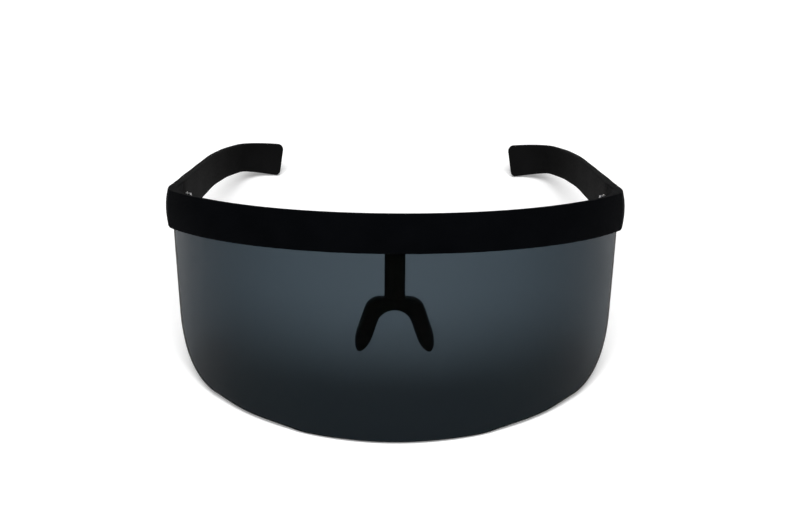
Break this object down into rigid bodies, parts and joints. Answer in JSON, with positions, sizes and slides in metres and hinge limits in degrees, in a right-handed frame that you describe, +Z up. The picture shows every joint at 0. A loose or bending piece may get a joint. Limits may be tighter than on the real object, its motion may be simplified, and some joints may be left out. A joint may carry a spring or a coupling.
{
  "type": "shield sunglasses",
  "caption": "Oversize wrap-round shield sunglasses: a curved brow bar carries one deep smoke lens, a nose saddle on a stem and arms that fold on barrel hinges.",
  "frame": {"origin": "on the surface the glasses stand on, under the middle of their outer box", "axes": "+X to the wearer's left, +Y to the back of the head, +Z up; the lens faces -Y. The glasses stand as pictured, on the lens's lower edge and the tips of both arms, with the arms open."},
  "size_m": [0.1562, 0.1928, 0.0723],
  "materials": {
    "frame_black": "fine matte black",
    "smoke_lens": "polished, see-through smoke grey",
    "black_silicone": "soft satin black silicone",
    "hinge_steel": "plain nickel-silver grey",
    "screw_steel": "turned steel",
    "nylon": "natural nylon"
  },
  "bodies": {
    "front": {"brow_bar": "frame_black", "lens": "smoke_lens", "lens_retainer": "frame_black", "nose_bracket": "frame_black", "nose_pad": "black_silicone", "hinge_front_leaf_left": "hinge_steel", "hinge_front_leaf_right": "hinge_steel", "hinge_washers_left": "nylon", "hinge_washers_right": "nylon", "retainer_screws": "screw_steel", "nose_bracket_screws": "screw_steel", "front_leaf_screws_left": "screw_steel", "front_leaf_screws_right": "screw_steel", "hinge_screw_left": "screw_steel", "hinge_screw_right": "screw_steel"},
    "temple_left": {"temple_left": "frame_black", "hinge_temple_leaf_left": "hinge_steel", "temple_leaf_screws_left": "screw_steel"},
    "temple_right": {"temple_right": "frame_black", "hinge_temple_leaf_right": "hinge_steel", "temple_leaf_screws_right": "screw_steel"}
  },
  "joints": [
    {"name": "temple_left_fold", "type": "hinge", "parent": "front", "child": "temple_left", "pos_m": [0.07144, -0.01522, 0.04402], "axis": [0, 0.3252, 0.9456], "range_deg": [0, 92]},
    {"name": "temple_right_fold", "type": "hinge", "parent": "front", "child": "temple_right", "pos_m": [-0.07144, -0.01522, 0.04402], "axis": [0, -0.3252, -0.9456], "range_deg": [0, 74]}
  ]
}
